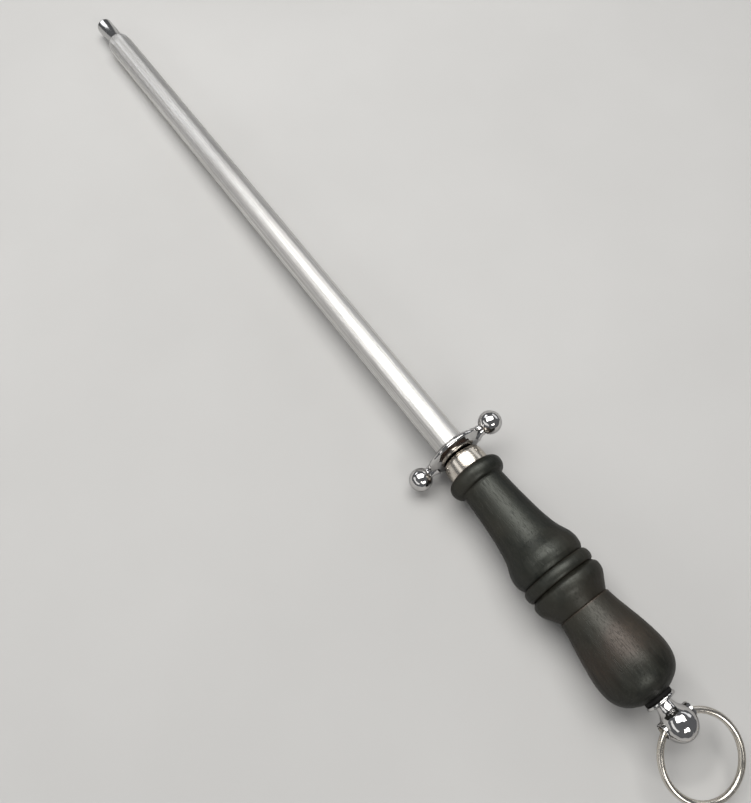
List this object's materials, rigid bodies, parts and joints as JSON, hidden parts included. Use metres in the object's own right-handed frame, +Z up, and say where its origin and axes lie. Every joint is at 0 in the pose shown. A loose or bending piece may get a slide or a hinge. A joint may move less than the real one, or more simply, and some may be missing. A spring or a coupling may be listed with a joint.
{
  "type": "knife sharpening steel",
  "caption": "Round butcher's sharpening steel with a lens-shaped guard and side knobs, a turned black wooden handle and a hanging ring on a swivel.",
  "frame": {"origin": "the centre of the nib's flat end, at the steel's tip", "axes": "+X out of the tip along the steel's axis, +Z up as the steel lies, +Y along the ball's cross hole; the guard's arms are 20 degrees off level"},
  "size_m": [0.4501, 0.042, 0.0286],
  "materials": {
    "steel_rod": "fine lengthwise ribs, satin; polished nib",
    "chrome_guard": "bright chrome plating on a casting",
    "nickel_ferrule": "satin nickel, lightly brushed around",
    "stained_wood": "black stain with a worn semi-matt varnish",
    "zinc_hardware": "zinc plated",
    "spring_steel": "blackened",
    "black_fibre": "black vulcanised fibre, matt",
    "chrome_swivel": "bright chrome plating",
    "nickel_ring": "bright nickel-plated wire"
  },
  "bodies": {
    "grip": {"sharpening_rod": "steel_rod", "guard": "chrome_guard", "ferrule": "nickel_ferrule", "handle": "stained_wood", "tang_washer": "zinc_hardware", "spring_washer": "spring_steel", "tang_nut": "zinc_hardware", "butt_washer": "black_fibre", "swivel_socket": "chrome_swivel"},
    "swivel_head": {"swivel_ball": "chrome_swivel"},
    "ring": {"hanging_ring": "nickel_ring"}
  },
  "joints": [
    {"name": "head_swivel", "type": "hinge", "parent": "grip", "child": "swivel_head", "pos_m": [-0.414, 0, 0], "axis": [1, 0, 0], "continuous": true},
    {"name": "ring_swing", "type": "hinge", "parent": "swivel_head", "child": "ring", "pos_m": [-0.4217, 0, 0], "axis": [0, 1, 0], "range_deg": [-127, 164]}
  ]
}
